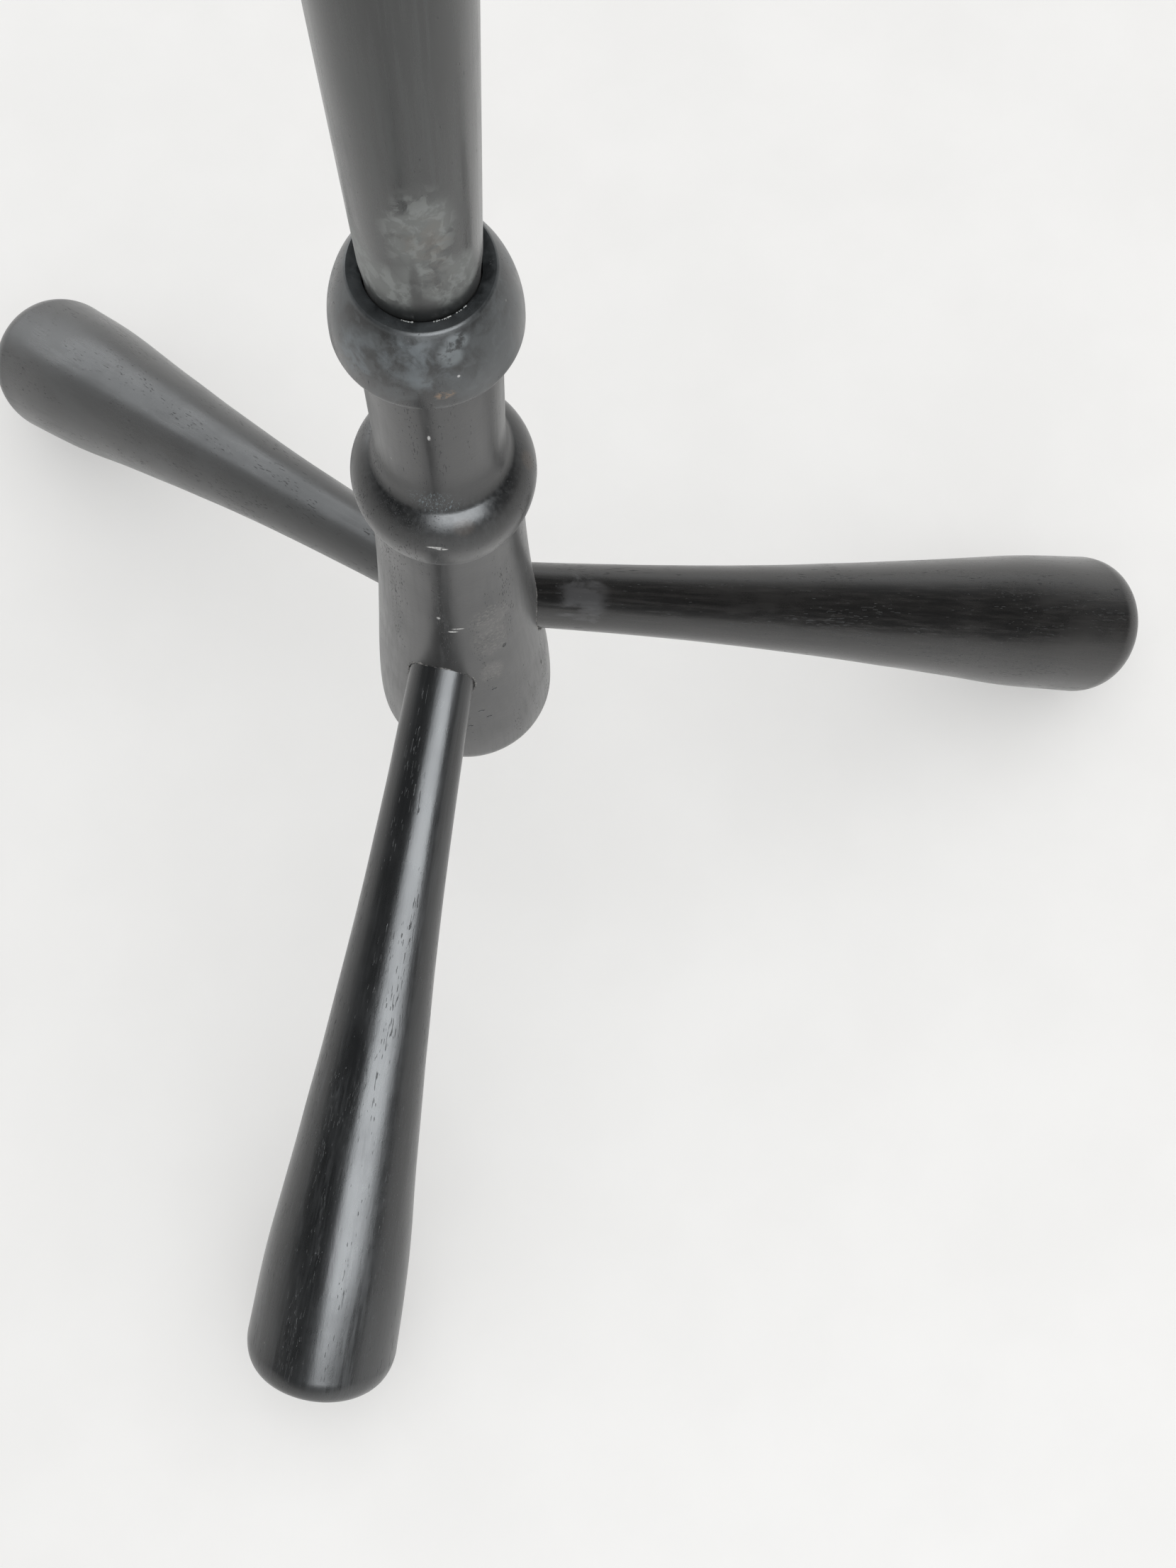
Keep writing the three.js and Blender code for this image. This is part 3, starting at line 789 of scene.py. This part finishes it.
def make_paint_line(name, lift, thickness, seed):
    """A thin broken line of cracked paint round a leg's joint."""
    centres = joint_points(name, lift)
    count, sides = len(centres), 6
    mesh = bmesh.new()
    rings = []
    for i, centre in enumerate(centres):
        travel = (centres[(i + 1) % count] - centres[i - 1]).normalized()
        outward = (centre - AXIS - Vector((0, 0, centre.z))).normalized()
        across = travel.cross(outward).normalized()
        wave = noise.noise(centre * 260 + Vector((seed, 0, 0))) + 0.6 * noise.noise(centre * 900)
        radius = thickness * max(0.08, 0.45 + 1.5 * wave)
        wander = 0.25 * MM * noise.noise(centre * 600 + Vector((0, seed, 0)))
        ring = []
        for k in range(sides):
            angle = 2 * math.pi * k / sides
            sideways = across * (math.cos(angle) * radius + wander)
            offset = sideways + outward * (math.sin(angle) * 0.6 * radius)
            ring.append(mesh.verts.new(centre + offset))
        rings.append(ring)
    for i in range(count):
        ring, following = rings[i], rings[(i + 1) % count]
        for k in range(sides):
            j = (k + 1) % sides
            mesh.faces.new((ring[k], ring[j], following[j], following[k]))
    bmesh.ops.recalc_face_normals(mesh, faces=mesh.faces)
    data = bpy.data.meshes.new(f"paint_line_{name}_{seed}")
    mesh.to_mesh(data)
    mesh.free()
    line = bpy.data.objects.new(data.name, data)
    bpy.context.collection.objects.link(line)
    shade(line, 60)
    settle(line)
    dress(line, CRACKED_PAINT, "base", "ebonised_column")


def make_seam_glint_drops():
    """Tiny glossy drops in the seam round the post's foot; their pale colour is a painted glint."""
    chance = random.Random(7)
    mesh = bmesh.new()
    radius = SOCKET_RADIUS + 0.35 * MM
    height = COLLAR_RIM - DISH_DEPTH + 0.35 * MM
    clusters = [(-4, 7, 7), (26, 44, 8), (48, 62, 5)]
    for start, end, drops in clusters:
        for i in range(drops):
            angle = math.radians(start + (end - start) * (i + chance.uniform(-0.3, 0.3)) / drops)
            size = chance.uniform(0.16, 0.36) * MM
            spot = Vector((radius * math.sin(angle), -radius * math.cos(angle), height))
            flattened = Matrix.Diagonal((1.5, 1, 0.8, 1))
            shape = Matrix.Translation(spot) @ Matrix.Rotation(angle, 4, "Z") @ flattened
            bmesh.ops.create_icosphere(mesh, subdivisions=2, radius=size, matrix=shape)
    for vertex in mesh.verts:
        vertex.co += 0.08 * MM * noise.noise_vector(vertex.co * 2500)
    data = bpy.data.meshes.new("seam_glint_drops")
    mesh.to_mesh(data)
    mesh.free()
    glint_drops = bpy.data.objects.new("seam_glint_drops", data)
    bpy.context.collection.objects.link(glint_drops)
    shade(glint_drops, 80)
    on_axis(glint_drops)
    settle(glint_drops)
    dress(glint_drops, SEAM_GLINT_DROPS, "base", "ebonised_collar")


def column_outline():
    """Outside of the column, from the bottom of the hub up to the neck's top."""
    bead_across = BEAD_RADIUS - BEAD_CENTRE_RADIUS
    return [
        *arc(0, HUB_WIDEST, HUB_RADIUS, HUB_BOTTOM_DEPTH, -90, 0, 40),
        *bezier(
            (HUB_RADIUS, HUB_WIDEST), (HUB_RADIUS, HUB_WIDEST + 54 * MM),
            (FLANK_TOP_RADIUS, HUB_WIDEST + 144 * MM), (FLANK_TOP_RADIUS, BEAD_FOOT), steps=60)[1:],
        *arc(BEAD_CENTRE_RADIUS, BEAD_HEIGHT, bead_across, 39.8 * MM, -34, 0, 24)[1:],
        *arc(BEAD_CENTRE_RADIUS, BEAD_HEIGHT, bead_across, 27 * MM, 0, 43, 24)[1:],
        *bezier(
            (29.3 * MM, BEAD_HEIGHT + 18.4 * MM), (27.3 * MM, BEAD_HEIGHT + 20.3 * MM),
            (NECK_BASE_RADIUS, BEAD_HEIGHT + 23.6 * MM), (NECK_BASE_RADIUS, NECK_BASE), steps=20)[1:],
        (NECK_TOP_RADIUS, COLLAR_BASE - GAP),
    ]


def make_column():
    bore = TENON_RADIUS + TENON_PLAY
    bore_floor = TENON_END - 2 * MM
    profile = [
        *column_outline(),
        (SPIGOT_RADIUS, COLLAR_BASE - GAP),
        (SPIGOT_RADIUS, SOCKET_FLOOR),
        (bore, SOCKET_FLOOR),
        (bore, bore_floor),
        (0, bore_floor),
    ]
    column = turned("column_turning", profile)
    unsettle(column, 0.12 * MM, 45)
    on_axis(column)
    subtract(column, [leg_hole(name) for name in LEG_LENGTHS])
    settle(column)
    dress(column, COLUMN_WOOD, "base", "ebonised_column", "hub_column")


def make_collar():
    bore = SPIGOT_RADIUS + GAP
    profile = [
        (bore, COLLAR_BASE),
        (COLLAR_LIP_RADIUS - 0.3 * MM, COLLAR_BASE),
        (COLLAR_LIP_RADIUS, COLLAR_BASE + 0.25 * MM),
        *arc(11.3 * MM, COLLAR_WIDEST, COLLAR_RADIUS - 11.3 * MM, 11.8 * MM, -42, 0, 16),
        *arc(0.5 * MM, COLLAR_WIDEST, COLLAR_RADIUS - 0.5 * MM, 48.9 * MM, 0, 42.4, 36)[1:],
        (COLLAR_RIM_RADIUS - 0.2 * MM, COLLAR_RIM - 0.1 * MM),
        (COLLAR_RIM_RADIUS - 0.6 * MM, COLLAR_RIM - 0.2 * MM),
        (SOCKET_RADIUS + 0.6 * MM, COLLAR_RIM - DISH_DEPTH + 0.4 * MM),
        (SOCKET_RADIUS, COLLAR_RIM - DISH_DEPTH),
        (SOCKET_RADIUS, SOCKET_FLOOR - 2 * MM),
        (bore, SOCKET_FLOOR - 2 * MM),
        (bore, COLLAR_BASE),
    ]
    collar = turned("collar_turning", profile, closed=True)
    unsettle(collar, 0.10 * MM, 70)
    on_axis(collar)
    settle(collar)
    dress(collar, COLLAR_WOOD, "base", "ebonised_collar", "collar_bead")


def post_radius(height):
    return POST_FOOT_RADIUS + POST_WIDENING * (height - COLLAR_RIM)


def make_post():
    bead_height = POST_TOP - POST_BEAD_HALF_HEIGHT - 1 * MM
    bead_start = bead_height - POST_BEAD_HALF_HEIGHT
    hole = DOWEL_RADIUS + GAP
    hole_floor = POST_TOP - DOWEL_HALF_LENGTH - 1 * MM
    profile = [
        (0, TENON_END),
        (TENON_RADIUS - 2 * MM, TENON_END),
        *arc(TENON_RADIUS - 2 * MM, TENON_END + 2 * MM, 2 * MM, 2 * MM, -90, 0, 6)[1:],
        (TENON_RADIUS, SHOULDER),
        *arc(POST_SHOULDER_RADIUS - 0.6 * MM, SHOULDER + 0.6 * MM, 0.6 * MM, 0.6 * MM, -90, 0, 6),
        *bezier(
            (POST_SHOULDER_RADIUS, COLLAR_RIM - 2 * MM),
            (POST_SHOULDER_RADIUS + 0.4 * MM, COLLAR_RIM + 3 * MM),
            (post_radius(COLLAR_RIM + 10 * MM), COLLAR_RIM + 10 * MM), steps=12),
        (post_radius(bead_start - 4 * MM), bead_start - 4 * MM),
        *arc(POST_BEAD_RADIUS - 8 * MM, bead_height, 8 * MM, POST_BEAD_HALF_HEIGHT, -70, 80, 30),
        *arc(CONE_FOOT_RADIUS - 1.6 * MM, POST_TOP - 0.6 * MM, 0.6 * MM, 0.6 * MM, 0, 90, 6),
        (hole, POST_TOP),
        (hole, hole_floor),
        (0, hole_floor),
    ]
    post = turned("post_turning", profile)
    post.data.materials.append(POST_WOOD)
    post.data.materials.append(RAW_WOOD)
    for face in post.data.polygons:
        face.material_index = int(face.center.z < SHOULDER + 0.1 * MM)
    on_axis(post)
    settle(post)
    dress(post, POST_WOOD, "post", "ebonised_post", "upper_post")


def make_cone():
    hole = DOWEL_RADIUS + GAP
    hole_top = CONE_BASE + DOWEL_HALF_LENGTH + 1 * MM
    low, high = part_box("bell_ring_lower"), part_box("bell_ring_upper")
    low_inner, low_outer = 26.4 * MM, 29.6 * MM
    high_inner, high_outer = 12.4 * MM, 15.3 * MM
    land = low_outer - 1.2 * MM
    tip_radius = high_outer - 1.6 * MM
    profile = [
        (0, hole_top),
        (hole, hole_top),
        (hole, CONE_BASE),
        (CONE_FOOT_RADIUS, CONE_BASE),
        *bezier((CONE_FOOT_RADIUS, CONE_BASE), (land, CONE_BASE), (land, CONE_BASE + 3 * MM), steps=6)[1:],
        (land, low[0][2] - GAP),
        (low_inner - GAP, low[0][2] - GAP),
        (low_inner - GAP, low[1][2] + GAP),
        (land, low[1][2] + GAP),
        *bezier(
            (land, low[1][2] + GAP), (19 * MM, CONE_BASE + 40 * MM), (15 * MM, CONE_BASE + 70 * MM),
            (high_outer - 1.2 * MM, high[0][2] - GAP), steps=40)[1:],
        (high_inner - GAP, high[0][2] - GAP),
        (high_inner - GAP, high[1][2] + GAP),
        (tip_radius, high[1][2] + GAP),
        *arc(0, CONE_TIP - 11 * MM, tip_radius, 11 * MM, 0, 90, 24)[1:],
    ]
    cone = turned("bell_cone_turning", profile)
    on_axis(cone)
    settle(cone)
    dress(cone, CONE_WOOD, "post", "ebonised_cone", "bell_cone")
    make_felt_ring("bell_ring_lower", low, low_inner, low_outer)
    make_felt_ring("bell_ring_upper", high, high_inner, high_outer)


def make_felt_ring(node, box, inner, outer):
    base, top = box[0][2], box[1][2]
    middle = (base + top) / 2
    profile = [
        (inner, base),
        *arc(inner + 1 * MM, middle, outer - inner - 1 * MM, (top - base) / 2, -90, 90, 24),
        (inner, top),
        (inner, base),
    ]
    ring = turned(f"felt_{node}", profile, closed=True, longest=0.8 * MM)
    roughen(ring, 0.12 * MM, 900)
    on_axis(ring)
    settle(ring)
    dress(ring, BLACK_FELT, "post", "felt", node)


def roughen(piece, amount, frequency):
    """Moves vertices along their normals by noise, for a soft or worn surface."""
    for vertex in piece.data.vertices:
        shift = noise.noise(vertex.co * frequency) * amount
        vertex.co += vertex.normal * shift


def make_washer(node, inner, outer, body):
    low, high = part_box(node)
    edge = 0.4 * MM
    profile = [
        (inner, low[2]),
        *arc(outer - edge, low[2] + edge, edge, edge, -90, 0, 5),
        *arc(outer - edge, high[2] - edge, edge, edge, 0, 90, 5),
        (inner, high[2]),
        (inner, low[2]),
    ]
    washer = turned(f"felt_{node}", profile, closed=True, longest=0.8 * MM)
    roughen(washer, 0.08 * MM, 900)
    on_axis(washer)
    settle(washer)
    dress(washer, BLACK_FELT, body, "felt", node)


# ---------------------------------------------------------------------------
# Glides
# ---------------------------------------------------------------------------

def make_glide(name):
    head_radius, head_height, head_thickness, shank = 3.2 * MM, 1 * MM, 0.8 * MM, 1 * MM
    pad_radius, edge = 8 * MM, 0.5 * MM
    head_top = head_height + head_thickness
    centre = Matrix.Translation(pad_centre(name))
    pad_profile = [
        (head_radius + GAP, 0),
        *arc(pad_radius - edge, edge, edge, edge, -90, 0, 5),
        *arc(pad_radius - edge, PAD_THICKNESS - edge, edge, edge, 0, 90, 5),
        (shank + GAP, PAD_THICKNESS),
        (shank + GAP, head_top + GAP),
        (head_radius + GAP, head_top + GAP),
        (head_radius + GAP, 0),
    ]
    pad = turned(f"felt_glide_{name}", pad_profile, facets=96, closed=True, longest=0.6 * MM)
    place(pad, centre)
    settle(pad)
    dress(pad, BLACK_FELT, "base", "felt", f"foot_pad_{name}")
    nail_profile = [
        *arc(0, head_height + 0.4 * MM, head_radius, 0.4 * MM, -90, 0, 8),
        (head_radius, head_top),
        (shank, head_top),
        (shank, head_top + 11 * MM),
        (0, head_top + 14 * MM),
    ]
    nail = turned(f"glide_nail_{name}", nail_profile, facets=48)
    place(nail, centre)
    settle(nail)
    dress(nail, NAIL_STEEL, "base", "steel", f"foot_nail_{name}")


# ---------------------------------------------------------------------------
# Build
# ---------------------------------------------------------------------------

make_column()
make_collar()
make_post()
make_cone()
make_washer("seat_washer", TENON_RADIUS + TENON_PLAY, SOCKET_RADIUS - 0.5 * MM, "seat")
make_washer("cone_washer", DOWEL_RADIUS + 2 * GAP, CONE_FOOT_RADIUS - 2 * MM, "post")
make_seam_glint_drops()
for side in LEG_LENGTHS:
    make_leg(side)
    make_glide(side)
    make_paint_line(side, 1.0 * MM, 0.5 * MM, 1)
    make_paint_line(side, 0.1 * MM, 0.28 * MM, 2)
for hidden in ("cone_dowel", "tenon_wedge_front", "tenon_wedge_right", "tenon_wedge_left"):
    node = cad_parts[hidden]
    node.data.materials.clear()
    node.data.materials.append(RAW_WOOD)


# ---------------------------------------------------------------------------
# Floor, light and camera
# ---------------------------------------------------------------------------

def make_floor():
    mesh = bmesh.new()
    bmesh.ops.create_grid(mesh, x_segments=1, y_segments=1, size=6)
    data = bpy.data.meshes.new("floor")
    mesh.to_mesh(data)
    mesh.free()
    floor = bpy.data.objects.new("floor", data)
    bpy.context.collection.objects.link(floor)
    settle(floor)
    s = Shader("pale_floor")
    mottle = s.noise(s.place, 9, detail=6, roughness=0.6)
    s.start(s.mix(s.ramp(mottle, 0.3, 0.7), (0.58, 0.577, 0.57, 1), (0.61, 0.608, 0.602, 1)), 0.6)
    s.dent(mottle, 0.1, 1 * MM)
    s.bsdf.inputs["Emission Color"].default_value = (1, 0.995, 0.985, 1)
    s.bsdf.inputs["Emission Strength"].default_value = 0.36
    floor.data.materials.append(s.done())


DAYLIGHT = (1.0, 0.995, 0.985)
SKYLIGHT = (0.93, 0.97, 1.0)


def soft_light(name, place_at, target, size, power, colour, mirrored):
    """A panel. A mirrored one only shows in the shine of things, and any other only lights them."""
    data = bpy.data.lights.new(name, "AREA")
    data.shape = "RECTANGLE"
    data.size, data.size_y = size
    data.energy = power
    data.color = colour
    light = bpy.data.objects.new(name, data)
    bpy.context.collection.objects.link(light)
    direction = Vector(target) - Vector(place_at)
    light.rotation_mode = "QUATERNION"
    light.rotation_quaternion = direction.to_track_quat("-Z", "Y")
    light.location = place_at
    light.visible_glossy = mirrored
    light.visible_diffuse = not mirrored


def make_world():
    """Even white light, and a room in the shine: bright low down at the back and left, dark elsewhere."""
    world = bpy.data.worlds.new("room")
    world.use_nodes = True
    tree = world.node_tree

    def node(kind, **values):
        made = tree.nodes.new(kind)
        for key, value in values.items():
            setattr(made, key, value)
        return made

    def fade(value, low, high, start, end):
        made = node("ShaderNodeMapRange", interpolation_type="SMOOTHSTEP")
        tree.links.new(value, made.inputs["Value"])
        for key, number in zip(("From Min", "From Max", "To Min", "To Max"), (low, high, start, end)):
            made.inputs[key].default_value = number
        return made.outputs["Result"]

    direction = node("ShaderNodeTexCoord").outputs["Generated"]
    parts = node("ShaderNodeSeparateXYZ")
    tree.links.new(direction, parts.inputs[0])
    facing = node("ShaderNodeVectorMath", operation="DOT_PRODUCT")
    tree.links.new(direction, facing.inputs[0])
    facing.inputs[1].default_value = (-0.45, 0.89, 0)
    low_down = fade(parts.outputs["Z"], 0.02, 0.34, 1, 0)
    side = fade(facing.outputs["Value"], -0.3, 0.8, 0.05, 1)
    wall = node("ShaderNodeMath", operation="MULTIPLY")
    tree.links.new(low_down, wall.inputs[0])
    tree.links.new(side, wall.inputs[1])
    room = node("ShaderNodeMix", data_type="RGBA")
    tree.links.new(wall.outputs[0], room.inputs[0])
    room.inputs[6].default_value = (0.064, 0.070, 0.075, 1)
    room.inputs[7].default_value = (1.25, 1.27, 1.28, 1)
    rays = node("ShaderNodeLightPath")
    seen = node("ShaderNodeMix", data_type="RGBA")
    tree.links.new(rays.outputs["Is Glossy Ray"], seen.inputs[0])
    seen.inputs[6].default_value = (0.62, 0.62, 0.615, 1)
    tree.links.new(room.outputs[2], seen.inputs[7])
    tree.links.new(seen.outputs[2], tree.nodes["Background"].inputs["Color"])
    bpy.context.scene.world = world


FOCAL_PIXELS = 2600
LONG_SIDE = 2212
CAMERA_DISTANCE = 0.3255           # from the column's axis, over the floor
CAMERA_HEIGHT = 1.100
CAMERA_AZIMUTH = 19.6              # degrees to the right of the front leg
CAMERA_DIP = 75.33
CAMERA_PAN = -7.6
CAMERA_ROLL = 5.27


def make_camera():
    data = bpy.data.cameras.new("camera")
    data.sensor_fit = "AUTO"
    data.sensor_width = 36
    data.lens = FOCAL_PIXELS * 36 / LONG_SIDE
    data.shift_x = 0.0052
    data.shift_y = 0.0185
    data.clip_start = 0.01
    camera = bpy.data.objects.new("camera", data)
    bpy.context.collection.objects.link(camera)
    side = math.radians(CAMERA_AZIMUTH)
    dip, pan, roll = (math.radians(a) for a in (CAMERA_DIP, CAMERA_PAN, CAMERA_ROLL))
    forward = Vector((math.sin(pan) * math.cos(dip), math.cos(pan) * math.cos(dip), -math.sin(dip)))
    right = Vector((math.cos(pan), -math.sin(pan), 0))
    up = right.cross(forward)
    rolled_right = right * math.cos(roll) + up * math.sin(roll)
    rolled_up = up * math.cos(roll) - right * math.sin(roll)
    spot = AXIS + Vector((math.sin(side), -math.cos(side), 0)) * CAMERA_DISTANCE
    spot.z = CAMERA_HEIGHT
    rows = [(rolled_right[i], rolled_up[i], -forward[i], spot[i]) for i in range(3)]
    camera.matrix_world = Matrix([*rows, (0, 0, 0, 1)])
    bpy.context.scene.camera = camera


make_floor()
make_world()
soft_light("overhead", (0.7, 0.3, 3.0), (0, 0, 0), (5, 5), 50, DAYLIGHT, mirrored=False)
soft_light("front_window", (1.15, -1.95, 1.55), (0, -0.1, 0.15), (2.6, 1.3), 100, SKYLIGHT, mirrored=True)
soft_light("left_window", (-1.9, 1.5, 0.45), (0, 0, 0.3), (1.8, 0.9), 9, SKYLIGHT, mirrored=True)
make_camera()
bpy.context.scene.view_settings.view_transform = "Standard"
